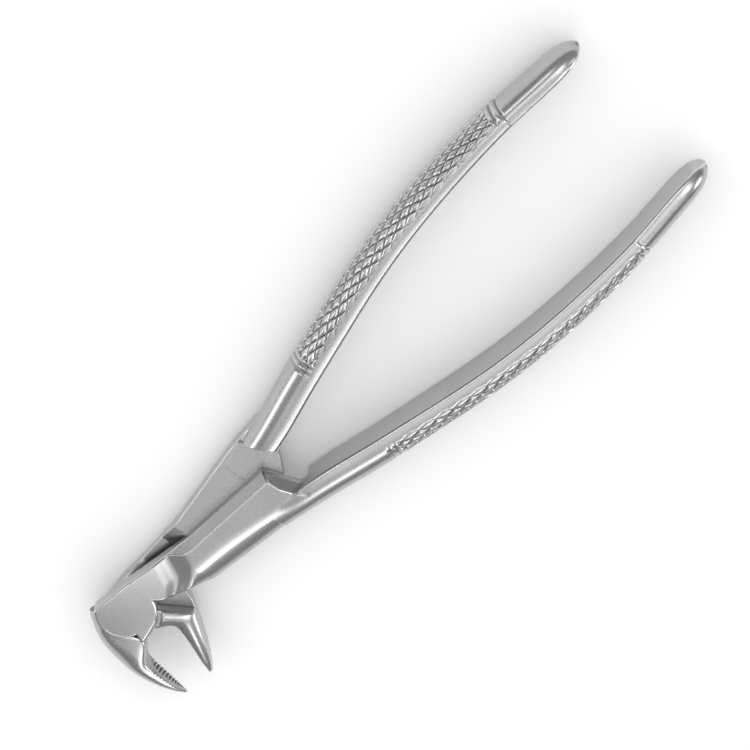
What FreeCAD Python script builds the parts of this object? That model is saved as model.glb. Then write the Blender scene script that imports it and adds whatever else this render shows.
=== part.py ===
"""Extraction forceps, English pattern, lower molar, hawk-bill beaks.

Two one-piece forged halves cross at a lap joint and turn on one pivot pin.
Units are millimetres. The origin is on the pivot axis, in the flat rear face of
the joint. +Z is the pivot axis, towards the front half. +X runs out between the
handles, and the beaks reach down towards -Y. The halves stand open by twice
HALF_OPEN.

Each half is drawn in its closed frame, in which the lap plane is z = 0 and the
line where the two handles meet (the mid-line) is parallel to +X. It is then
turned open about the pivot and lifted until the joint's rear face is z = 0.
"""
import FreeCAD, Part
import math
import os

from FreeCAD import Vector

# Driving dimensions ---------------------------------------------------------
HALF_OPEN = 5.4            # each handle's angle from the X axis at rest, degrees
MID_LINE = -4.0            # y of the handles' meeting line in the closed frame
MEETING_GAP = 0.15         # from the mid-line to each inner face, handles closed
JOINT_HALF = 4.6           # half thickness of the crossed joint
LAP_GAP = 0.02             # each lap face stands this far from the lap plane
HUB_RADIUS = 5.95          # round hub of each half
HUB_CLEARANCE = 0.2        # from one hub to the beak root that wraps it
DOME_RADIUS = 80.0         # crown of the front face of the head
DOME_END = 13.0            # x where the crowned head gives way to the flat body
DOME_RISE = 0.2            # crown's height over the joint's half thickness
PIN_RADIUS = 2.0
PIN_HEAD_RADIUS = 3.0
PIN_HEAD_HEIGHT = 1.0      # countersunk head, flush with the rear half's hub
PIN_RUNNING_GAP = 0.03     # gap between the pin and the rear half
PIN_END = 3.2              # how far the pin's blind end enters the front half
SIDE_WALL_HEIGHT = 1.9     # where the body's side wall turns into its bevel
BEVEL_RUN = 1.9            # how far the bevel leans back to the ridge
EDGE_RADIUS = 1.3          # rounding between a handle's inner face and sides
SIDE_SWELL = 0.25          # how far a handle's sides swell past that rounding
CREST = 0.42               # place of the widest line, as a share of the depth
SCOOP_RADIUS = 3.2         # hollow between the head and the body
SCOOP_DEPTH = 2.1
GOUGE_RADIUS = 5.0         # hollow of the beaks' inner faces
GOUGE_DEPTH = 0.9
BEYOND = 12.0              # a height or depth well outside the object

# Handle stations: x, inner face's distance from the mid-line, depth, half width
HANDLE_STATIONS = (
    (38.0, 0.0, 5.0, 4.60),
    (48.0, 0.0, 6.4, 4.95),
    (60.0, 1.5, 6.8, 5.30),
    (76.0, 3.7, 6.7, 5.75),
    (92.0, 5.5, 6.5, 6.05),
    (108.0, 6.1, 6.2, 6.20),
    (122.0, 5.3, 5.8, 6.15),
    (134.0, 3.4, 5.3, 6.00),
    (144.0, 0.9, 4.7, 5.70),
)
HANDLE_END = 151.4         # x of the rounded butt
BUTT_SHARES = (0.45, 0.75, 0.93)   # places of the butt's closing sections

# Beak stations from root to tip: inner point, outer point, half width
FRONT_BEAK = (
    ((-3.9, -4.2), (-8.9, -3.6), 4.50),
    ((-3.3, -8.6), (-9.15, -8.4), 4.40),
    ((-4.7, -11.7), (-8.9, -11.9), 4.00),
    ((-4.8, -14.6), (-8.2, -15.0), 3.70),
    ((-4.5, -17.6), (-7.1, -18.1), 3.20),
    ((-4.15, -20.4), (-5.7, -20.8), 2.40),
    ((-3.85, -22.2), (-4.5, -22.4), 1.40),
)
FRONT_BEAK_TIP = (-3.5, -23.5)
REAR_BEAK = (
    ((1.8, -8.7), (10.6, -6.8), 4.45),
    ((3.5, -11.0), (9.4, -10.8), 4.20),
    ((2.9, -13.6), (7.1, -14.0), 3.90),
    ((1.6, -16.5), (4.8, -17.3), 3.40),
    ((0.1, -19.4), (2.4, -20.3), 2.60),
    ((-0.9, -21.7), (0.3, -22.3), 1.50),
)
REAR_BEAK_TIP = (-1.2, -23.4)

# Lap plates, closed frame, round each half from the top of its head ----------
FRONT_TOP = ((-4.9, 4.3), (4.6, 4.1), (10.8, 3.5), (20.5, 2.7), (42.3, 3.4))
NOTCH_FOOT = (46.8, -3.9)
FRONT_UNDER = ((52.0, -6.0), (50.0, -9.5), (44.0, -9.3), (31.0, -8.7), (18.4, -8.0),
               (14.4, -5.5), (12.4, -5.3), (9.8, -4.0))
FRONT_HUB_ARC = (-18.5, -97.0)
FRONT_FACE_EDGE = ((-0.8, -7.1), (-2.7, -6.9), (-4.3, -6.1), (-5.4, -4.2))
FRONT_OUTSIDE = ((-8.6, -4.2), (-7.6, 0.4), (-4.9, 4.3))
REAR_TOP = ((4.5, 3.3), (11.0, 2.6), (20.8, 2.0), (42.0, 3.0), (50.0, 2.4))
REAR_UNDER = ((52.0, -1.0), (46.7, -5.5), (42.8, -10.0), (31.0, -8.7), (18.4, -8.0),
              (13.2, -6.3), (10.8, -7.6), (9.4, -10.6), (3.6, -10.4), (-0.8, -8.0))
REAR_HUB_ARC = (-99.0, -212.0)
SHOULDER = ((41.0, -20.0), (43.2, -12.4), (48.2, -4.0), (48.2, 10.0))
STOP_WALL = ((3.55, -4.25), (8.15, -11.7))   # the rear half's opening stop
WRAP_INSIDE = ((4.2, -10.4), (2.0, -8.9), (-0.3, -7.7), (-0.3, -5.0))


def spline(points):
    curve = Part.BSplineCurve()
    curve.interpolate([Vector(x, y, 0) for x, y in points])
    return curve


def path(points):
    """Straight edges through the points, at z = 0."""
    vectors = [Vector(x, y, 0) for x, y in points]
    return [Part.makeLine(a, b) for a, b in zip(vectors, vectors[1:])]


def prism(wire, low, high):
    """Solid between two heights over a closed outline drawn at z = 0."""
    face = Part.Face(wire)
    face.translate(Vector(0, 0, low))
    return face.extrude(Vector(0, 0, high - low))


def polygon(points):
    return Part.Wire(path(tuple(points) + (points[0],)))


def cylinder(radius, low, high):
    return Part.makeCylinder(radius, high - low, Vector(0, 0, low))


# Handles --------------------------------------------------------------------

def handle_section(origin, outward, depth, half_width):
    """Tombstone section: flat inner face, rounded edges, swelling sides and back."""
    edge = min(EDGE_RADIUS, 0.45 * half_width, 0.45 * depth)
    side = half_width - SIDE_SWELL
    halfway = edge * (1 - math.cos(0.25 * math.pi))
    crest = CREST * depth

    def place(across, z):
        return origin + outward * across + Vector(0, 0, z)

    inner = Part.makeLine(place(0, edge - side), place(0, side - edge))
    front_edge = Part.Arc(place(0, side - edge), place(halfway, side - halfway),
                          place(edge, side)).toShape()
    rear_edge = Part.Arc(place(edge, -side), place(halfway, halfway - side),
                         place(0, edge - side)).toShape()
    steps = 7
    points = [place(edge, side), place(crest, half_width)]
    for step in range(1, steps):
        angle = math.pi * step / steps
        across = crest + (depth - crest) * math.sin(angle) ** 0.85
        points.append(place(across, half_width * math.cos(angle)))
    points += [place(crest, -half_width), place(edge, -side)]
    back = Part.BSplineCurve()
    back.interpolate(points)
    return Part.Wire([inner, front_edge, back.toShape(), rear_edge])


def handle_line():
    """Inner face of the handle on the -Y side, in the closed frame."""
    contact = MID_LINE - MEETING_GAP
    points = [(x, contact - offset) for x, offset, _, _ in HANDLE_STATIONS]
    return spline(points + [(HANDLE_END, contact + 0.9)])


def station_frame(curve, x):
    """Point of the inner face at x, and the direction out to the handle's back."""
    low, high = curve.FirstParameter, curve.LastParameter
    for _ in range(40):
        middle = 0.5 * (low + high)
        if curve.value(middle).x < x:
            low = middle
        else:
            high = middle
    tangent = curve.tangent(low)[0]
    return curve.value(low), Vector(tangent.y, -tangent.x, 0)


def handle():
    curve = handle_line()
    sections = []
    for x, _, depth, half_width in HANDLE_STATIONS:
        sections.append(handle_section(*station_frame(curve, x), depth, half_width))
    butt_start, _, depth, half_width = HANDLE_STATIONS[-1]
    for share in BUTT_SHARES:
        scale = math.sqrt(1 - share ** 2.4)
        x = butt_start + share * (HANDLE_END - butt_start)
        origin, outward = station_frame(curve, x)
        origin += outward * 0.45 * depth * (1 - scale)
        sections.append(handle_section(origin, outward, depth * scale, half_width * scale))
    origin, outward = station_frame(curve, HANDLE_END)
    sections.append(Part.Vertex(origin + outward * 0.45 * depth))
    return Part.makeLoft(sections, True, False)


def grip():
    """Handle, with its rear side cleared where the two laps cross."""
    corners = ((30.0, 10.0), (30.0, -20.0)) + SHOULDER
    return handle().cut(prism(polygon(corners), -BEYOND, LAP_GAP))


# Beaks ----------------------------------------------------------------------

def beak_section(inner, outer, half_width):
    """D section: nearly flat inner face, full round outside."""
    start = Vector(*inner, 0)
    outward = Vector(*outer, 0) - start
    depth = outward.Length
    outward.normalize()
    rim = min(0.35, 0.2 * depth)
    winding = -1 if outward.x > 0 else 1     # keeps both beaks right side out

    def place(across, z):
        return start + outward * across + Vector(0, 0, winding * z)

    face = Part.makeLine(place(0, -half_width), place(0, half_width))
    steps = 8
    points = [place(0, half_width), place(rim, half_width)]
    for step in range(1, steps):
        angle = math.pi * step / steps
        across = rim + (depth - rim) * math.sin(angle) ** 0.8
        points.append(place(across, half_width * math.cos(angle)))
    points += [place(rim, -half_width), place(0, -half_width)]
    back = Part.BSplineCurve()
    back.interpolate(points)
    return Part.Wire([face, back.toShape()])


def beak(stations, tip):
    sections = [beak_section(*station) for station in stations]
    sections.append(Part.Vertex(Vector(*tip, 0)))
    return Part.makeLoft(sections, True, False).cut(gouge(stations))


def gouge(stations):
    """Ball-ended hollow along a beak's inner face."""
    ends = []
    for (inner, outer, _), depth in ((stations[-4], GOUGE_DEPTH), (stations[-1], 0.35)):
        point = Vector(*inner, 0)
        outward = (Vector(*outer, 0) - point).normalize()
        ends.append(point - outward * (GOUGE_RADIUS - depth))
    axis = ends[1] - ends[0]
    barrel = Part.makeCylinder(GOUGE_RADIUS, axis.Length, ends[0], axis)
    return barrel.fuse(Part.makeSphere(GOUGE_RADIUS, ends[0]))


# Lap plates -----------------------------------------------------------------

def hub_arc(start_angle, end_angle):
    angles = (start_angle, 0.5 * (start_angle + end_angle), end_angle)
    ends = [Vector(HUB_RADIUS * math.cos(math.radians(angle)),
                   HUB_RADIUS * math.sin(math.radians(angle)), 0) for angle in angles]
    return Part.Arc(*ends).toShape()


def closed_outline(edges):
    """Wire through the edges in order, with straight links over their gaps."""
    linked = []
    for edge, following in zip(edges, edges[1:] + edges[:1]):
        linked.append(edge)
        end = edge.valueAt(edge.LastParameter)
        start = following.valueAt(following.FirstParameter)
        if end.distanceToPoint(start) > 1e-6:
            linked.append(Part.makeLine(end, start))
    return Part.Wire(linked)


def front_plan():
    """Head, neck and body of the front half, and the notch before its handle."""
    edges = path(FRONT_TOP + (NOTCH_FOOT,) + FRONT_UNDER)
    edges.append(hub_arc(*FRONT_HUB_ARC))
    edges.append(spline(FRONT_FACE_EDGE).toShape())
    edges.append(spline(FRONT_OUTSIDE).toShape())
    return closed_outline(edges)


def rear_plan():
    edges = path(REAR_TOP + REAR_UNDER)
    edges.append(hub_arc(*REAR_HUB_ARC))
    return closed_outline(edges)


def crown():
    """Space under the head's slightly domed front, and under the flat body."""
    height = JOINT_HALF + DOME_RISE - DOME_RADIUS
    ball = Part.makeSphere(DOME_RADIUS, Vector(-1.0, -1.5, height))
    head = Part.makeBox(50, 60, BEYOND, Vector(DOME_END - 50, -40, 0))
    body = Part.makeBox(50, 60, JOINT_HALF, Vector(DOME_END, -40, 0))
    return ball.common(head).fuse(body)


def scoop():
    """Hollow across the front plate between the head and the body."""
    start = Vector(15.9, 6.0, JOINT_HALF + SCOOP_RADIUS - SCOOP_DEPTH)
    return Part.makeCylinder(SCOOP_RADIUS, 16.0, start, Vector(-0.27, -1.0, 0))


def side_bevel(start, end):
    """Wedge that leans the body's side wall back to the ridge on its face."""
    run = Vector(end[0] - start[0], end[1] - start[1], 0)
    length = run.Length
    along = run.normalize()
    out = Vector(-along.y, along.x, 0)
    low = Vector(*start, SIDE_WALL_HEIGHT)
    high = Vector(*start, JOINT_HALF + 0.01)
    corners = [low, low + out * 4, high + out * 4, high - out * BEVEL_RUN, low]
    return Part.Face(Part.makePolygon(corners)).extrude(along * length)


# Pieces ---------------------------------------------------------------------

def front_half():
    plate = prism(front_plan(), LAP_GAP, JOINT_HALF + DOME_RISE).common(crown())
    body_start = FRONT_TOP[3]
    body_end = FRONT_TOP[4]
    for tool in (scoop(), side_bevel(body_start, body_end),
                 side_bevel(body_end, NOTCH_FOOT)):
        plate = plate.cut(tool)
    jaw = beak(FRONT_BEAK, FRONT_BEAK_TIP)
    wrap = prism(polygon(((-3.0, -2.0), (-3.4, 4.3)) + FRONT_OUTSIDE[::-1]
                         + ((-8.9, -6.0), (-4.0, -6.5))), -JOINT_HALF, LAP_GAP)
    rear_side = jaw.fuse(wrap)
    rear_side = rear_side.cut(cylinder(HUB_RADIUS + HUB_CLEARANCE, -BEYOND, LAP_GAP))
    rear_side = rear_side.cut(cylinder(HUB_RADIUS, LAP_GAP, BEYOND))
    solid = plate.fuse([grip(), rear_side])
    return solid.cut(cylinder(PIN_RADIUS, -BEYOND, PIN_END)).removeSplitter()


def rear_half():
    plate = prism(rear_plan(), -JOINT_HALF, -LAP_GAP)
    handle_side = grip()
    handle_side.rotate(Vector(0, MID_LINE, 0), Vector(1, 0, 0), 180)
    jaw = beak(REAR_BEAK, REAR_BEAK_TIP)
    wrap = prism(polygon(STOP_WALL + WRAP_INSIDE), -LAP_GAP, JOINT_HALF)
    jaw = jaw.fuse(wrap)
    top, foot = STOP_WALL
    above_stop = polygon((top, foot, (14.0, -12.0), (14.0, 6.0), (-9.0, 6.0), (-9.0, -2.0)))
    jaw = jaw.cut(prism(above_stop, -LAP_GAP, BEYOND))
    jaw = jaw.cut(cylinder(HUB_RADIUS + HUB_CLEARANCE, -LAP_GAP, BEYOND))
    solid = plate.fuse([handle_side, jaw])
    return solid.cut(pin(PIN_RUNNING_GAP)).removeSplitter()


def pin(gap=0.0):
    """Blind pivot pin with a countersunk head in the rear half's hub."""
    face = -JOINT_HALF
    neck = face + PIN_HEAD_HEIGHT
    outline = Part.makePolygon([
        Vector(0, 0, face), Vector(PIN_HEAD_RADIUS + gap, 0, face),
        Vector(PIN_RADIUS + gap, 0, neck), Vector(PIN_RADIUS + gap, 0, PIN_END),
        Vector(0, 0, PIN_END), Vector(0, 0, face),
    ])
    return Part.Face(outline).revolve(Vector(0, 0, 0), Vector(0, 0, 1), 360)


def placed(shape, turn=0.0):
    """Turned about the pivot and lifted onto the joint's rear face."""
    shape.rotate(Vector(0, 0, 0), Vector(0, 0, 1), turn)
    shape.translate(Vector(0, 0, JOINT_HALF))
    return shape


PIECES = {
    "front_half": placed(front_half(), -HALF_OPEN),
    "rear_half": placed(rear_half(), HALF_OPEN),
    "pivot_pin": placed(pin()),
}

os.makedirs("parts", exist_ok=True)
for name, shape in PIECES.items():
    shape.exportStep(f"parts/{name}.step")
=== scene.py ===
"""Extraction forceps: two forged steel halves on a pivot pin, on a pale studio floor.

Each half is described as a signed distance in millimetres, in its closed frame: the
pivot axis is Z, the lap plane is z = 0 and the handles meet on the line y = MID_LINE.
The description is sampled on a fine grid, turned into a mesh, moved onto the exact
surface, and then turned open about the pivot and lifted onto the joint's rear face.
"""
import math

import bpy
import numpy as np
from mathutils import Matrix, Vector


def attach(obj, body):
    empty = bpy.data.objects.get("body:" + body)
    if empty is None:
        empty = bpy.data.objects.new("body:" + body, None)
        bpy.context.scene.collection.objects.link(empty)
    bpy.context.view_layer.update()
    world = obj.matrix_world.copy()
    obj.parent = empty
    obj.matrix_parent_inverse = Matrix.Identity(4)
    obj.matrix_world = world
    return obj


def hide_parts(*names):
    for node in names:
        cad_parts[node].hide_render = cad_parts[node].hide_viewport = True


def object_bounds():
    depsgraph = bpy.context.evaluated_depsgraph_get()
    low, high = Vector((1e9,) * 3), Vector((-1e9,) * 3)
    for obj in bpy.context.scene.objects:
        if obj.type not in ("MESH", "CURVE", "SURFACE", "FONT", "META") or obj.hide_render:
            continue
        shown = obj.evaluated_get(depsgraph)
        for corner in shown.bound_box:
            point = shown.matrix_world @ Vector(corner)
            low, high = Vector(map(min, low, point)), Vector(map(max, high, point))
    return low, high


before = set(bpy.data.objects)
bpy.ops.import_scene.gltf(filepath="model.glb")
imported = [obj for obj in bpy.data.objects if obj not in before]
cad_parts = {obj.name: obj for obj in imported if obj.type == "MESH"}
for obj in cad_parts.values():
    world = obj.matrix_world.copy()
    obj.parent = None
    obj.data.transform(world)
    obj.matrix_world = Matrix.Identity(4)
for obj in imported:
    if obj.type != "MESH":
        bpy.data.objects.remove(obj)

import openvdb
from mathutils import Matrix, Vector

CAD_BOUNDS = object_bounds()
MM = 0.001

# Driving dimensions, millimetres, in each half's closed frame ----------------
HALF_OPEN = 5.4         # degrees each half is turned from closed in the photo's pose
JOINT_HALF = 4.6        # lap plane to either outer face of the joint
LAP_GAP = 0.03
MID_LINE = -4.0
MEETING_GAP = 0.15
HUB_RADIUS = 5.9
HUB_CLEARANCE = 0.3
PLATE_END = 50.0        # where each half's plate has run out inside its handle
SHARP = 0.25            # blend radius of the crisp edges
LAP_EDGE = 0.15         # blend radius where a part is cut away for the other half

# Stations along a handle: offset from the mid-line, depth across and half thickness
HANDLE_X = (38, 43, 48, 60, 76, 92, 108, 122, 134, 144, 152.6)
HANDLE_OFFSET = (0.0, 0.0, 0.0, 1.5, 3.7, 5.5, 6.0, 5.4, 4.2, 2.6, 1.7)
HANDLE_DEPTH = (5.0, 5.8, 6.4, 6.8, 6.7, 6.5, 6.2, 5.8, 5.3, 5.2, 4.8)
HANDLE_WIDTH = (3.6, 4.5, 4.95, 5.3, 5.75, 6.05, 6.2, 6.15, 6.0, 5.7, 5.4)
CREST = 0.33            # share of the depth where the flat sides turn into the back
BUTT_START = 143.0
BUTT_END = 152.6


def table(knots, values, step=0.1):
    """Natural cubic spline through the points, as a fast function of arrays."""
    x, y = np.asarray(knots, float), np.asarray(values, float)
    h = np.diff(x)
    count = len(x)
    system, right = np.eye(count), np.zeros(count)
    for i in range(1, count - 1):
        system[i, i - 1:i + 2] = h[i - 1], 2 * (h[i - 1] + h[i]), h[i]
        right[i] = 6 * ((y[i + 1] - y[i]) / h[i] - (y[i] - y[i - 1]) / h[i - 1])
    bend = np.linalg.solve(system, right)
    fine = np.arange(x[0], x[-1] + step, step)
    i = np.clip(np.searchsorted(x, fine) - 1, 0, count - 2)
    a, b = x[i + 1] - fine, fine - x[i]
    curve = ((bend[i] * a ** 3 + bend[i + 1] * b ** 3) / (6 * h[i])
             + (y[i] / h[i] - bend[i] * h[i] / 6) * a
             + (y[i + 1] / h[i] - bend[i + 1] * h[i] / 6) * b)
    fine, curve = fine.astype(np.float32), curve.astype(np.float32)
    return lambda t: np.interp(t, fine, curve).astype(np.float32)


def corner_line(points, blur=0.8, step=0.05):
    """Broken line y(x) with its corners rounded over about blur millimetres."""
    xs, ys = zip(*points)
    fine = np.arange(xs[0], xs[-1], step)
    line = np.interp(fine, xs, ys)
    width = max(int(blur / step), 1)
    kernel = np.ones(width) / width
    for _ in range(2):
        padded = np.pad(line, (width // 2, width - 1 - width // 2), mode="reflect",
                        reflect_type="odd")
        line = np.convolve(padded, kernel, mode="valid")
    slope = np.gradient(line, step)
    fine = fine.astype(np.float32)
    line, slope = line.astype(np.float32), slope.astype(np.float32)

    def height(t, value):
        """Signed distance of value above the line."""
        y = np.interp(t, fine, line).astype(np.float32)
        tilt = np.interp(t, fine, slope).astype(np.float32)
        return (value - y) / np.sqrt(1 + tilt * tilt)
    return height


def smin(a, b, r):
    """Union with a fillet of about radius r."""
    h = np.maximum(r - np.abs(a - b), 0) / r
    return np.minimum(a, b) - 0.25 * r * h * h


def smax(a, b, r):
    """Intersection with an edge rounded to about radius r."""
    h = np.maximum(r - np.abs(a - b), 0) / r
    return np.maximum(a, b) + 0.25 * r * h * h


def round_meet(a, b, r):
    """Intersection whose edge is a true arc of radius r."""
    u, v = np.maximum(a + r, 0), np.maximum(b + r, 0)
    return np.minimum(np.maximum(a, b), -r) + np.sqrt(u * u + v * v)


def step_up(t, start, end):
    """Smooth step from 0 at start to 1 at end."""
    k = np.clip((t - start) / (end - start), 0, 1)
    return k * k * (3 - 2 * k)


def step_down(t, start, end):
    """Smooth step from 1 at start to 0 at end."""
    return step_up(-t, -end, -start)


def half_plane(x, y, a, b):
    """Distance to the right of the line from a to b."""
    dx, dy = b[0] - a[0], b[1] - a[1]
    return ((x - a[0]) * dy - (y - a[1]) * dx) / math.hypot(dx, dy)


# Handle ---------------------------------------------------------------------
inner_line = table(HANDLE_X, [MID_LINE - MEETING_GAP - v for v in HANDLE_OFFSET])
handle_depth = table(HANDLE_X, HANDLE_DEPTH)
handle_width = table(HANDLE_X, HANDLE_WIDTH)


INNER_EDGE = 0.6        # radius of a grip's two inner edges
SIDE_SWELL = 0.16       # how far the sides draw in towards the inner face
BACK_POWER = 2.3        # 2 is an ellipse; more gives a fuller back


def line_slope(x):
    """Slope of the handle's inner line, over one millimetre."""
    return inner_line(x + 0.5) - inner_line(x - 0.5)


def tombstone(a, z, depth, width):
    """Flat inner face, slightly swelling sides and a full round back."""
    crest = CREST * depth
    swell = np.clip((crest - a) / (crest - 0.4), 0, 1.6)
    side = np.abs(z) - (width - SIDE_SWELL * swell * swell)
    u = np.maximum((a - crest) / (depth - crest), 0)
    v = np.abs(z) / width
    value = u ** BACK_POWER + v * v - 1
    along = BACK_POWER * u ** (BACK_POWER - 1) / (depth - crest)
    across = 2 * np.maximum(v, 0.25) / width
    back = value / np.sqrt(along * along + across * across)
    return round_meet(np.where(a > crest, back, side), -a, INNER_EDGE)


DIAMOND_LENGTH = 4.2    # along the handle
DIAMOND_HEIGHT = 2.15   # around it
AROUND = 5.4            # millimetres of surface per radian of turn about the crest
KNURL_FROM = 67.9
KNURL_TO = 130.0
COLLARS = ((66.0, 0.22), (67.35, 0.26), (130.7, 0.4), (132.2, 0.42))
COLLAR_WIDTH = 0.42
BUTT_STEP = 0.2         # how far the plain butt lies below the grip
BUTT_STEP_AT = 132.0


def knurl(s, a, z, depth, width):
    """Depth of the file-cut diamonds, the collars and the butt's step at a point."""
    crest = CREST * depth
    turn = np.arctan2(z / width, np.maximum(a - crest, 0.0) / (depth - crest))
    around = turn * AROUND
    wobble = 0.05 * np.sin(s * 0.9 + 2.1 * turn) + 0.04 * np.sin(s * 0.37 - 3.0 * turn)
    one = s / DIAMOND_LENGTH + around / DIAMOND_HEIGHT + wobble
    two = s / DIAMOND_LENGTH - around / DIAMOND_HEIGHT - wobble
    one = 2 * np.abs(one - np.round(one))
    two = 2 * np.abs(two - np.round(two))
    cell = smin(one, two, 0.25)
    groove = 0.18 * (1 - np.clip(cell / 0.35, 0, 1)) ** 1.3
    cut = groove + 0.27 * (1 - cell) ** 2
    band = step_up(s, KNURL_FROM, 68.5) * step_down(s, 129.4, KNURL_TO)
    side = 0.25 * step_up(a, 1.9, 2.9) + 0.75 * step_up(a, 2.8, 3.5)
    sink = cut * band
    for centre, deep in COLLARS:
        t = (s - centre) / COLLAR_WIDTH
        sink += deep * np.exp(-t * t)
    step = BUTT_STEP * step_up(s, BUTT_STEP_AT, 132.6)
    return sink * side + step * step_up(a, 0.2, 1.0)


BUTT_POWER = 3.2        # how squarely the butt closes


def handle(x, y, z):
    """Curved grip from the shoulder to the rounded butt."""
    slope = line_slope(x)
    cosine = 1 / np.sqrt(1 + slope * slope)
    s = x - (inner_line(x) - y) * slope * cosine * cosine
    slope = line_slope(s)
    a = ((x - s) * slope - (y - inner_line(s))) / np.sqrt(1 + slope * slope)
    depth, width = handle_depth(s), handle_width(s)
    share = np.clip((s - BUTT_START) / (BUTT_END - BUTT_START), 0, 0.9995)
    scale = np.sqrt(1 - share ** BUTT_POWER)
    rate = 1.6 * share ** 2.2 / scale / (BUTT_END - BUTT_START)
    flare = 1 / np.sqrt(1 + (4.5 * rate) ** 2)
    middle = 0.25 * depth
    shifted = a - middle * (1 - scale)
    d = tombstone(shifted, z, depth * scale, width * scale) * flare
    d = d + knurl(s, a, z, depth, width)
    return np.maximum(np.maximum(d, s - BUTT_END), HANDLE_X[0] - s)


# Beaks ----------------------------------------------------------------------
# Stations from root to tip: inner point, outer point and half width across the beak
FRONT_BEAK = (
    ((-1.0, 3.6), (-5.9, 4.1), 4.80),
    ((-2.6, 0.4), (-7.7, 0.5), 4.90),
    ((-2.6, -4.2), (-8.9, -3.6), 4.95),
    ((-1.2, -8.1), (-9.15, -8.4), 4.75),
    ((-4.2, -11.6), (-8.9, -11.9), 4.00),
    ((-4.8, -14.6), (-8.2, -15.0), 3.30),
    ((-4.5, -17.6), (-7.1, -18.1), 2.80),
    ((-4.15, -20.4), (-5.7, -20.8), 2.15),
    ((-3.85, -22.2), (-4.7, -22.4), 1.45),
    ((-3.6, -23.4), (-3.9, -23.5), 0.55),
)
REAR_BEAK = (
    ((-0.6, -5.8), (9.0, 0.5), 4.60),
    ((0.3, -7.5), (10.9, -3.4), 4.60),
    ((1.8, -8.8), (11.0, -6.2), 4.55),
    ((3.2, -10.3), (10.2, -8.8), 4.40),
    ((3.5, -11.6), (9.4, -10.8), 4.15),
    ((2.9, -13.6), (7.4, -13.9), 3.90),
    ((1.6, -16.5), (5.0, -17.2), 3.40),
    ((0.1, -19.4), (2.7, -20.2), 2.60),
    ((-0.9, -21.7), (0.8, -22.3), 1.80),
    ((-1.5, -23.3), (-0.5, -23.5), 0.90),
)


TABLE_STEP = 0.02
MIN_SIZE = 0.05         # keeps divisions safe at a beak's tip


class Sweep:
    """Coordinates of a curved beak: place along it, across it, and its size."""

    def __init__(self, stations):
        t = np.arange(len(stations))
        self.last = len(stations) - 1
        self.ix, self.iy = (table(t, [s[0][i] for s in stations], TABLE_STEP) for i in (0, 1))
        self.ox, self.oy = (table(t, [s[1][i] for s in stations], TABLE_STEP) for i in (0, 1))
        self.width = table(t, [s[2] for s in stations], TABLE_STEP)
        self.turn = 1 if stations[0][1][0] < stations[0][0][0] else -1

    def locate(self, x, y):
        """Station number, height over the inner line, distance off the section,
        depth and half width, found by halving the range of stations."""
        low = np.zeros_like(x)
        high = np.full_like(x, self.last)
        for _ in range(14):
            t = 0.5 * (low + high)
            ix, iy = self.ix(t), self.iy(t)
            dx, dy = self.ox(t) - ix, self.oy(t) - iy
            before = self.turn * ((x - ix) * dy - (y - iy) * dx) > 0
            low = np.where(before, low, t)
            high = np.where(before, t, high)
        t = 0.5 * (low + high)
        ix, iy = self.ix(t), self.iy(t)
        dx, dy = self.ox(t) - ix, self.oy(t) - iy
        depth = np.maximum(np.sqrt(dx * dx + dy * dy), MIN_SIZE)
        across = ((x - ix) * dx + (y - iy) * dy) / depth
        off = -self.turn * ((x - ix) * dy - (y - iy) * dx) / depth
        return t, across, off, depth, np.maximum(self.width(t), MIN_SIZE)


FRONT_SWEEP = Sweep(FRONT_BEAK)
REAR_SWEEP = Sweep(REAR_BEAK)
STATION_PITCH = 3.0     # millimetres from one station to the next, about
TOOTH_PITCH = 0.85
TOOTH_DEPTH = 0.34
RIM_BLEND = 0.16
GOUGE_SHARE = 0.86     # share of the face's width that the gouge takes


def teeth(t, z, width, first, last):
    """Depth of the serrations across a beak's inner face."""
    wave = np.abs(((t * STATION_PITCH / TOOTH_PITCH) % 1.0) - 0.5) * 2
    rims = step_up(np.abs(z) / width, 0.25, 0.6)
    depth = TOOTH_DEPTH * wave * step_up(t, first, first + 0.6)
    return depth * step_up(-t, -last - 0.1, -last) * rims


def arched(a, z, width, inner, crest, outer):
    """Section arched over the line a = crest, with a steepness for each side of it."""
    u = np.where(a > crest, outer * (a - crest), inner * (crest - a))
    v = np.abs(z) / width
    along = 2 * u * np.where(a > crest, outer, inner)
    across = 2 * np.maximum(v, 0.3) / width
    return (u * u + v * v - 1) / np.sqrt(along * along + across * across)


def inner_face(sweep, t, a, z, depth, width, bare, toothed):
    """Gouged and serrated face that grips the tooth; positive outside it."""
    hollow = 1 - (z / (GOUGE_SHARE * width)) ** 2
    grow = step_up(t, bare, bare + 2.0)
    grow = grow * step_down(t, sweep.last - 2.0, sweep.last - 0.2)
    gouge = np.maximum(hollow, 0) * np.minimum(grow + 0.12 * (t > bare), 1)
    gouge = gouge * np.minimum(depth / 3.0, 1)
    return gouge + teeth(t, z, width, *toothed) - a


def cut_ends(sweep, d, t, off):
    """The beak between its first and its last station."""
    end = np.where(t > sweep.last - 0.01, off, -1)
    start = np.where(t < 0.01, -off, -1)
    return np.maximum(smax(d, end, 0.25), start)


def front_beak(x, y, z):
    """Round near the head, then a half-round section with a sharp inner face."""
    t, a, off, depth, width = FRONT_SWEEP.locate(x, y)
    roundness = step_down(t, 3.0, 5.5)
    crest = 0.3 * depth
    outside = arched(a, z, width, 0.4 * roundness / crest, crest, 1 / (depth - crest))
    inside = inner_face(FRONT_SWEEP, t, a, z, depth, width, 4.0, (4.6, 8.6))
    blend = RIM_BLEND + 1.2 * roundness * step_up(t, 2.6, 3.6)
    return cut_ends(FRONT_SWEEP, smax(outside, inside, blend), t, off)


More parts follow.
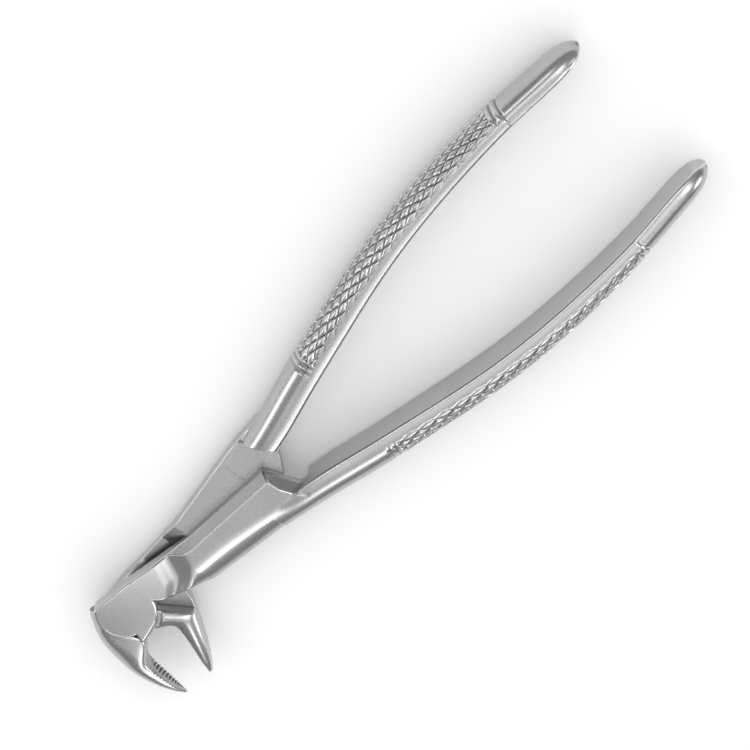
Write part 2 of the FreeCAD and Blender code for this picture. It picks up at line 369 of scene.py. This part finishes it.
def rear_beak(x, y, z):
    """Arched faces between a thin inner rim and a flat back wall."""
    t, a, off, depth, width = REAR_SWEEP.locate(x, y)
    crest = 0.5 * depth
    outside = arched(a, z, width, 0.75 / crest, crest, 0.55 / (depth - crest))
    outside = smax(outside, a - depth, 0.35)
    inside = inner_face(REAR_SWEEP, t, a, z, depth, width, 5.0, (6.0, 8.6))
    return cut_ends(REAR_SWEEP, smax(outside, inside, RIM_BLEND), t, off)


# Joint ----------------------------------------------------------------------
# Outlines of the plates seen along the pivot, and the crest of the front body's shoulder
front_top = corner_line(((-14, 4.1), (-4.9, 4.3), (4.6, 4.1), (10.8, 3.5), (20.5, 2.7),
                         (42.3, 3.4), (46.8, -4.3), (60, -5.6)), 0.7)
front_low = corner_line(((-14, -1.2), (3.5, -1.0), (5.7, -1.7), (7.6, -3.4), (9.2, -4.3),
                         (12.4, -5.1), (14.4, -5.6), (18.4, -8.0), (31, -8.7), (44, -9.3),
                         (60, -9.9)), 0.7)
front_ridge = corner_line(((10, -2.3), (16.8, -2.6), (22, -2.3), (27, -2.3), (33, -3.1),
                           (39, -4.3), (44.6, -5.2), (60, -7.0)), 4.0)
rear_top = corner_line(((-14, 3.3), (4.5, 3.3), (11.0, 2.6), (20.8, 2.0), (42.0, 3.0),
                        (60.0, 2.0)), 0.8)
rear_low = corner_line(((-14, -5.0), (9.5, -5.5), (10.8, -6.9), (13.2, -6.4), (18.4, -8.0),
                        (31.0, -8.7), (42.8, -10.0), (46.7, -5.5), (60, 1.0)), 0.7)
SHOULDER = ((43.2, -12.4), (48.2, -4.0))
STOP_WALL = ((3.55, -4.25), (8.15, -11.7))
SHOULDER_END = 48.2
CROWN_TOP = 4.75
CROWN_RADIUS = 110.0


def shoulder_block(x, y, z):
    """Space behind the lap plane that the other half's body crosses."""
    side = np.maximum(half_plane(x, y, *SHOULDER), x - SHOULDER_END)
    return smax(side, z - LAP_GAP, 0.8)


def crown(x, y, z):
    """Slightly domed front face of the head."""
    return z - CROWN_TOP + (x * x + (y + 2) ** 2) / (2 * CROWN_RADIUS)


def front_face(x, y, z):
    """Front face from the domed head over the valley behind the neck to the flat body."""
    across = x - 0.3 * y + 0.25 * np.maximum(-1.2 - y, 0) ** 2
    body = step_up(across, 12.6, 18.6)
    dip = 0.45 * step_up(across, 10.6, 14.8) * (1 - step_up(across, 14.4, 19.5))
    return crown(x, y, z) * (1 - body) + (z - JOINT_HALF) * body + dip


HEAD_CUT = ((1.2, 8), (-1.8, -8))
BEVEL_RUN = 1.9
BEVEL_RISE = 2.7
BEVEL_SLANT = 3.302
BEVEL_FROM = 1.9        # height where the bevel leaves the side wall
ROUND_FROM = 0.7        # height where the rounded shoulder leaves the side wall
ROUND_HEIGHT = JOINT_HALF + 0.1 - ROUND_FROM


def front_plan(x, y, top):
    """Outline of the front plate seen along the pivot: neck, body, hub and head disc."""
    low = -front_low(x, y)
    plan = smax(smax(top, low, SHARP), -x, SHARP)
    disc = smin(np.sqrt((x + 0.15) ** 2 + y * y) - 7.15,
                np.sqrt((x + 0.6) ** 2 + (y + 0.5) ** 2) - 7.4, 0.3)
    head = smax(disc, half_plane(x, y, *HEAD_CUT), SHARP)
    hub = np.sqrt(x * x + y * y) - HUB_RADIUS
    plan = smin(smin(plan, hub, 0.3), head, 0.2)
    return smax(plan, top, SHARP)


def front_shoulder(x, y, z):
    """Quarter-round flank from the body's ridge down to its lower edge."""
    inside = front_low(x, y)
    span = inside - front_ridge(x, y) + 1.2
    u = np.clip(1 - inside / span, 0, 2)
    v = np.maximum(z - ROUND_FROM, 0) / ROUND_HEIGHT
    value = u * u + v * v - 1
    slope = np.sqrt((2 * u / span) ** 2 + (2 * v / ROUND_HEIGHT) ** 2)
    return value / np.maximum(slope, 0.2)


def front_plate(x, y, z):
    """Front half's neck, head and body, with a bevel above and a round flank below."""
    top = front_top(x, y)
    d = round_meet(front_plan(x, y, top), front_face(x, y, z), 0.55)
    bevel = (BEVEL_RISE * top + BEVEL_RUN * (z - BEVEL_FROM)) / BEVEL_SLANT
    d = smax(d, bevel - 1.8 * (1 - step_up(x, 11.0, 19.0)), 0.25)
    shoulder = front_shoulder(x, y, z)
    d = smax(d, shoulder - 2.0 * (1 - step_up(x, 11.5, 19.0)), 0.4)
    d = smax(d, -JOINT_HALF - z, 0.5)
    return smax(d, x - PLATE_END, 1.0)


OUTSIDE = 5.0           # distance given to points before any shape is added
HANDLE_FROM = 36        # limits of the region in which each shape is worked out
BODY_TO = 56
FRONT_JAW_TO = 3
REAR_JAW_TO = 18
JAW_CORE = 5.2          # the jaws stop at this radius behind the lap plane
BORE_RADIUS = 2.0       # in the front half, a press fit on the pin
BORE_TOP = 3.2
TURNING_RADIUS = 2.05   # in the rear half, a running fit
PIN_HEAD_RADIUS = 3.03  # at the back face, narrowing forwards at 45 degrees
SEAT_RADIUS = 8.3       # round seat in the rear half for the front half's head
SEAT_FLOOR = 3.5
REAR_JAW_TOP = 4.45
REAR_JAW_ROLL = 3.6
SLANT_TOP = 4.1         # slanting cut that keeps the front jaw below the head's top edge
SLANT = 0.6
SLANT_LENGTH = 1.166


def front_jaw(x, y, z):
    """Front beak where it grows out of the head, cleared for the rear half's hub."""
    horn = smax(front_beak(x, y, z), crown(x, y, z), 0.3)
    radius = np.sqrt(x * x + y * y)
    behind = np.maximum(radius - HUB_RADIUS - HUB_CLEARANCE, z - LAP_GAP)
    horn = smax(horn, -behind, 0.12)
    horn = smax(horn, front_top(x, y), 0.5)
    horn = smax(horn, (y - SLANT * z - SLANT_TOP) / SLANT_LENGTH, 0.5)
    return np.maximum(horn, -np.maximum(radius - JAW_CORE, -z))


def front_half(p):
    """Front forging: lower handle, front lap of the joint, head and far beak."""
    x, y, z = p[:, 0], p[:, 1], p[:, 2]
    d = np.full(len(x), OUTSIDE, np.float32)
    far = x > HANDLE_FROM
    if far.any():
        d[far] = handle(x[far], y[far], z[far])
    near = x < BODY_TO
    if near.any():
        xs, ys, zs = x[near], y[near], z[near]
        body = smin(d[near], front_plate(xs, ys, zs), 0.8)
        d[near] = smax(body, -shoulder_block(xs, ys, zs), LAP_EDGE)
    jaw = x < FRONT_JAW_TO
    if jaw.any():
        d[jaw] = smin(d[jaw], front_jaw(x[jaw], y[jaw], z[jaw]), 0.15)
    bore = np.maximum(np.sqrt(x * x + y * y) - BORE_RADIUS, z - BORE_TOP)
    return np.maximum(d, -bore)


RELIEF_DEPTH = 1.9      # the rear plate lies this far below the lap plane beside the neck
RELIEF_END = 20.5
RELIEF_RAMP = 4.0


def rear_plate(x, y, z):
    """Rear half's hub and body, dipped beside the front half's neck."""
    radius = np.sqrt(x * x + y * y)
    top = rear_top(x, y)
    low = -rear_low(x, y)
    plan = smax(smax(top, low, SHARP), -x, SHARP)
    plan = smax(smin(plan, radius - HUB_RADIUS, 0.8), top, SHARP)
    relief = RELIEF_DEPTH * np.clip((RELIEF_END - x) / RELIEF_RAMP, 0, 1)
    d = smax(plan, z + relief * step_up(x, 5.0, 10.5), 0.12)
    d = smax(d, x - PLATE_END, 1.0)
    return round_meet(d, -JOINT_HALF - z, 0.5)


def rear_jaw(x, y, z):
    """Rear beak with its stop wall and the seat cut for the front half's head."""
    horn = rear_beak(x, y, z)
    radius = np.sqrt(x * x + y * y)
    wall = half_plane(x, y, *STOP_WALL)
    above = half_plane(x, y, (-9.0, -2.0), STOP_WALL[0])
    keep = np.maximum(np.maximum(-wall, -above), HUB_RADIUS + HUB_CLEARANCE - radius)
    front_side = smax(np.maximum(horn, -LAP_GAP - z - 0.2), keep, LAP_EDGE)
    front_side = smax(front_side, -smax(radius - SEAT_RADIUS, SEAT_FLOOR - z, 0.1), 0.25)
    roll = np.maximum(REAR_JAW_ROLL - wall, 0)
    front_side = smax(front_side, z - REAR_JAW_TOP + 0.055 * roll * roll, 0.4)
    back_side = smax(horn, z + LAP_GAP, 0.05)
    return np.minimum(front_side, back_side)


def rear_half(p):
    """Rear forging: upper handle, rear lap of the joint and near beak."""
    x, y, z = p[:, 0], p[:, 1], p[:, 2]
    d = np.full(len(x), OUTSIDE, np.float32)
    far = x > HANDLE_FROM
    if far.any():
        d[far] = handle(x[far], 2 * MID_LINE - y[far], -z[far])
    near = x < BODY_TO
    if near.any():
        xs, ys, zs = x[near], y[near], z[near]
        body = smin(d[near], rear_plate(xs, ys, zs), 0.8)
        d[near] = smax(body, -shoulder_block(xs, 2 * MID_LINE - ys, -zs), LAP_EDGE)
    jaw = x < REAR_JAW_TO
    if jaw.any():
        d[jaw] = smin(d[jaw], rear_jaw(x[jaw], y[jaw], z[jaw]), 0.3)
    radius = np.sqrt(x * x + y * y)
    countersink = radius - PIN_HEAD_RADIUS + np.clip(z + JOINT_HALF, 0, 9)
    bore = np.minimum(np.maximum(radius - TURNING_RADIUS, z - 5), countersink)
    return np.maximum(d, -bore)


# Mesh -----------------------------------------------------------------------
BLOCK = 8               # voxels along a side of the blocks that are sampled or skipped
FINE = 0.15
BAND = 3                # the field is kept this many voxels either side of the surface
BATCH = 2500            # blocks sampled at a time
ROUGH_REACH = 1.3       # a block is skipped when the surface is further than this
ROUGH_MARGIN = 0.8
SNAP_STEPS = 2
SNAP_LIMIT = 0.6        # share of a voxel that a point may move in one step
EDGE_FROM = 0.5         # curvature, per millimetre, where the painted edge highlight and painted hollow shade start
EDGE_RANGE = 3.0


def sampled(field, low, shape, voxel):
    """Field on a grid; blocks far from the surface only get its sign."""
    grid = np.stack(np.meshgrid(*[np.arange(k) for k in shape], indexing="ij"), -1)
    grid = grid.reshape(-1, 3)
    centres = low + (grid + 0.5) * (BLOCK * voxel) - 0.5 * voxel
    rough = field(centres.astype(np.float32))
    near = np.abs(rough) < ROUGH_REACH * BLOCK * voxel + ROUGH_MARGIN
    values = np.sign(rough).reshape(shape).astype(np.float32) * BAND * voxel
    for axis in range(3):
        values = np.repeat(values, BLOCK, axis)
    inner = np.stack(np.meshgrid(*[np.arange(BLOCK)] * 3, indexing="ij"), -1).reshape(-1, 3)
    blocks = grid[near]
    for part in np.array_split(blocks, max(1, len(blocks) // BATCH)):
        index = (part[:, None, :] * BLOCK + inner[None]).reshape(-1, 3)
        exact = field(low + index.astype(np.float32) * voxel)
        exact = np.clip(exact, -BAND * voxel, BAND * voxel)
        values[index[:, 0], index[:, 1], index[:, 2]] = exact
    return values


def gradient(field, points, reach=0.06):
    """Slope of the field along each axis, by central differences."""
    slopes = np.empty_like(points)
    for axis in range(3):
        shift = np.zeros(3, np.float32)
        shift[axis] = reach
        slopes[:, axis] = (field(points + shift) - field(points - shift)) / (2 * reach)
    return slopes


def curvature(field, points, reach=0.22):
    """Sum of the principal curvatures: positive on outer edges, negative in hollows."""
    total = -6 * field(points)
    for axis in range(3):
        shift = np.zeros(3, np.float32)
        shift[axis] = reach
        total += field(points + shift) + field(points - shift)
    return total / (reach * reach)


def surface(field, low, high):
    """Points on the field's surface, in millimetres, and the quads that join them."""
    low = np.array(low, np.float32)
    shape = tuple(np.ceil((np.array(high) - low) / (FINE * BLOCK)).astype(int))
    grid = openvdb.FloatGrid(BAND * FINE)
    grid.copyFromArray(sampled(field, low, shape, FINE))
    points, _, quads = grid.convertToPolygons(0.0, 0.0)
    points = low + points.astype(np.float32) * FINE
    for _ in range(SNAP_STEPS):
        slopes = gradient(field, points)
        step = -(field(points) / np.maximum((slopes * slopes).sum(1), 0.2))[:, None] * slopes
        size = np.linalg.norm(step, axis=1, keepdims=True)
        points = points + step * np.minimum(1, SNAP_LIMIT * FINE / np.maximum(size, 1e-9))
    return points, quads.astype(np.int32)


def quad_mesh(name, points, quads):
    """Smooth-shaded mesh of quads."""
    mesh = bpy.data.meshes.new(name)
    mesh.vertices.add(len(points))
    mesh.vertices.foreach_set("co", points.astype(np.float32).ravel())
    mesh.loops.add(quads.size)
    mesh.loops.foreach_set("vertex_index", quads.ravel())
    mesh.polygons.add(len(quads))
    mesh.polygons.foreach_set("loop_start", np.arange(0, quads.size, 4, dtype=np.int32))
    mesh.polygons.foreach_set("use_smooth", np.ones(len(quads), bool))
    mesh.update(calc_edges=True)
    mesh.validate()
    return mesh


def sculpt(name, field, low, high, turn):
    """Piece shaped by a field, turned open and lifted onto the joint's rear face."""
    points, quads = surface(field, low, high)
    normals = gradient(field, points)
    normals /= np.maximum(np.linalg.norm(normals, axis=1, keepdims=True), 1e-6)
    bend = curvature(field, points)
    angle = math.radians(turn)
    spin = np.array(((math.cos(angle), -math.sin(angle), 0),
                     (math.sin(angle), math.cos(angle), 0), (0, 0, 1)), np.float32)
    points = (points @ spin.T + np.array((0, 0, JOINT_HALF), np.float32)) * MM
    normals = normals @ spin.T
    mesh = quad_mesh(name, points, quads)
    # Curvature masks for the steel: painted highlight on edges, painted shade in hollows, and
    # their roughness.
    for label, amount in (("edge", bend), ("hollow", -bend)):
        share = np.clip((amount - EDGE_FROM) / EDGE_RANGE, 0, 1).astype(np.float32)
        attribute = mesh.attributes.new(label, "FLOAT", "POINT")
        attribute.data.foreach_set("value", share)
    mesh.normals_split_custom_set_from_vertices(normals.astype(float).tolist())
    piece = bpy.data.objects.new(name, mesh)
    bpy.context.scene.collection.objects.link(piece)
    return piece


# Steel ----------------------------------------------------------------------
BRUSHING = 9000.0       # sizes of the noises, per metre
BEADS = 4200.0
CLOUDS = 90.0
BUMP_STRENGTH = 0.04
BUMP_DEPTH = 0.00004


class Shader:
    """Short spelling for adding and joining material nodes."""

    def __init__(self, material):
        material.use_nodes = True
        self.nodes, self.links = material.node_tree.nodes, material.node_tree.links

    def add(self, kind, inputs=None, **settings):
        """New node, with each input set to a value or linked to a socket."""
        node = self.nodes.new(kind)
        for key, value in settings.items():
            setattr(node, key, value)
        for key, value in (inputs or {}).items():
            if isinstance(value, bpy.types.NodeSocket):
                self.links.new(value, node.inputs[key])
            else:
                node.inputs[key].default_value = value
        return node

    def math(self, operation, first, second=0.0, third=0.0):
        node = self.add("ShaderNodeMath", {0: first, 1: second, 2: third}, operation=operation)
        return node.outputs[0]

    def remap(self, value, low, high, to_low, to_high):
        node = self.add("ShaderNodeMapRange", {"Value": value, "From Min": low, "From Max": high,
                                               "To Min": to_low, "To Max": to_high})
        return node.outputs["Result"]

    def noise(self, place, scale, detail):
        node = self.add("ShaderNodeTexNoise", {"Vector": place, "Scale": scale, "Detail": detail})
        return node.outputs[0]

    def attribute(self, name):
        return self.add("ShaderNodeAttribute", attribute_name=name).outputs["Fac"]


def satin_steel(name, turn, tone=0.46, roughness=0.28):
    """Glass-bead satin finish with fine brushing; painted highlight on the outer edges and
    painted shade in the hollows, with smoother edges and rougher hollows.
    """
    material = bpy.data.materials.new(name)
    shader = Shader(material)
    place = shader.add("ShaderNodeTexCoord").outputs["Object"]
    along = shader.add("ShaderNodeMapping", {"Vector": place,
                                             "Rotation": (0, 0, math.radians(-turn)),
                                             "Scale": (0.12, 1.0, 1.0)}).outputs[0]
    grain = shader.noise(along, BRUSHING, 3.0)
    bead = shader.noise(place, BEADS, 4.0)
    cloud = shader.noise(place, CLOUDS, 3.0)
    edge = shader.attribute("edge")
    hollow = shader.attribute("hollow")
    value = shader.remap(cloud, 0.3, 0.7, tone - 0.02, tone + 0.02)
    value = shader.math("MULTIPLY_ADD", shader.remap(grain, 0.3, 0.7, -1.0, 1.0), 0.012, value)
    # Painted highlight: the colour is lighter on outer edges.
    value = shader.math("MULTIPLY_ADD", edge, 0.22, value)
    # Painted shade: the colour is darker in hollows.
    value = shader.math("MULTIPLY_ADD", hollow, -0.28, value)
    blue = shader.math("MULTIPLY", value, 1.008)
    colour = shader.add("ShaderNodeCombineColor", {"Red": value, "Green": value, "Blue": blue})
    rough = shader.remap(bead, 0.3, 0.7, roughness - 0.02, roughness + 0.03)
    rough = shader.math("MULTIPLY_ADD", edge, -0.1, rough)
    rough = shader.math("MULTIPLY_ADD", hollow, 0.12, rough)
    height = shader.math("MULTIPLY_ADD", grain, 0.6, bead)
    bump = shader.add("ShaderNodeBump", {"Height": height, "Strength": BUMP_STRENGTH,
                                         "Distance": BUMP_DEPTH})
    surface_node = shader.nodes["Principled BSDF"]
    surface_node.inputs["Metallic"].default_value = 1.0
    shader.links.new(colour.outputs[0], surface_node.inputs["Base Color"])
    shader.links.new(rough, surface_node.inputs["Roughness"])
    shader.links.new(bump.outputs[0], surface_node.inputs["Normal"])
    return material


# Studio ---------------------------------------------------------------------
CAMERA_DISTANCE = 0.850
CAMERA_TILT = math.radians(20.9)
CAMERA_ROLL = math.radians(47.4)
LENS = 195.84
SENSOR = 36.0
PIVOT_OFF_CENTRE = Vector((-50.15 * MM, -50.85 * MM, 0.0))   # in the camera's own axes
EYE_SHIFT = Vector((1.0, 3.9, -4.6)) * MM                    # in the model's axes
FLOOR_DROP = 0.00005    # below the lowest point, so that the faces don't fight


def camera():
    """The photo's view: from above the joint, with the handles rising to the right."""
    turn = Matrix.Rotation(CAMERA_TILT, 3, "X") @ Matrix.Rotation(CAMERA_ROLL, 3, "Z")
    eye = turn.transposed() @ (Vector((0, 0, CAMERA_DISTANCE)) - PIVOT_OFF_CENTRE)
    eye -= EYE_SHIFT
    data = bpy.data.cameras.new("camera")
    data.lens = LENS
    data.sensor_width = SENSOR
    data.clip_start = 0.01
    obj = bpy.data.objects.new("camera", data)
    obj.matrix_world = Matrix.Translation(eye) @ turn.transposed().to_4x4()
    bpy.context.scene.collection.objects.link(obj)
    bpy.context.scene.camera = obj


def floor():
    """Pale sheet the tool lies on."""
    low = CAD_BOUNDS[0][2]
    bpy.ops.mesh.primitive_plane_add(size=3, location=(0.07, 0, low - FLOOR_DROP))
    obj = bpy.context.object
    obj.name = "floor"
    material = bpy.data.materials.new("floor")
    material.use_nodes = True
    sheet = material.node_tree.nodes["Principled BSDF"]
    sheet.inputs["Base Color"].default_value = (0.95, 0.95, 0.95, 1)
    obj.data.materials.append(material)


# Soft boxes: direction towards each in the camera's axes, half angle, fade and strength.
# Only reflections see them.
SOFT_BOXES = (
    ((0.18, -0.84, 0.51), 5, 6, 4.6),
    ((-0.93, -0.02, 0.37), 6, 8, 4.0),
    ((0.88, -0.25, 0.40), 9, 8, 6.4),
    ((-0.55, 0.02, 0.83), 4, 8, 3.0),
    ((-0.15, -0.50, 0.85), 3, 12, 1.1),
    ((0.18, -0.33, 0.92), 6, 11, 2.9),
)
AMBIENT = 0.40          # surround between the soft boxes, as the steel mirrors it
FLOOR_LIGHT = 1.12      # even light on the floor


def soft_box(shader, ray, towards, size, fade):
    """1 for rays within size degrees of a direction, fading to 0 over fade degrees."""
    facing = shader.add("ShaderNodeVectorMath", {0: ray, 1: towards}, operation="DOT_PRODUCT")
    near = math.cos(math.radians(size))
    far = math.cos(math.radians(size + fade))
    box = shader.add("ShaderNodeMapRange", {"Value": facing.outputs["Value"],
                                            "From Min": far, "From Max": near},
                     interpolation_type="SMOOTHSTEP")
    return box.outputs["Result"]


def studio_light():
    """Even light for the floor; a dim surround with soft boxes for the steel to mirror."""
    turn = bpy.context.scene.camera.matrix_world.to_3x3()
    world = bpy.data.worlds.new("studio")
    shader = Shader(world)
    ray = shader.add("ShaderNodeTexCoord").outputs["Generated"]
    total = AMBIENT
    for direction, size, fade, strength in SOFT_BOXES:
        towards = (turn @ Vector(direction)).normalized()
        box = soft_box(shader, ray, towards, size, fade)
        total = shader.math("MULTIPLY_ADD", box, strength, total)
    height = shader.add("ShaderNodeSeparateXYZ", {0: ray}).outputs["Z"]
    total = shader.math("MULTIPLY", total, shader.remap(height, -0.1, 0.6, 0.6, 1.0))
    glossy = shader.add("ShaderNodeLightPath").outputs["Is Glossy Ray"]
    background = shader.nodes["Background"]
    mix = shader.add("ShaderNodeMix", {"Factor": glossy, "A": FLOOR_LIGHT, "B": total})
    shader.links.new(mix.outputs["Result"], background.inputs["Strength"])
    background.inputs["Color"].default_value = (1, 1, 1, 1)
    bpy.context.scene.world = world
    bpy.context.scene.view_settings.view_transform = "Standard"


# Build ----------------------------------------------------------------------
SAMPLED_LOW = (-11, -25.5, -8)
FRONT_HIGH = (153, 6, 8)
REAR_HIGH = (153, 17, 8)


def dress(piece, body, node, turn):
    """Give a forging its steel and stand it in the place of its CAD half."""
    piece.data.materials.append(satin_steel(node, turn))
    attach(piece, body)
    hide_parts(node)


front = sculpt("front_half_forged", front_half, SAMPLED_LOW, FRONT_HIGH, -HALF_OPEN)
rear = sculpt("rear_half_forged", rear_half, SAMPLED_LOW, REAR_HIGH, HALF_OPEN)
dress(front, "front", "front_half", -HALF_OPEN)
dress(rear, "rear", "rear_half", HALF_OPEN)

pin_steel = satin_steel("pivot_pin", 0.0, tone=0.52, roughness=0.18)
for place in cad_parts["pivot_pin"].material_slots:
    place.material = pin_steel

camera()
floor()
studio_light()
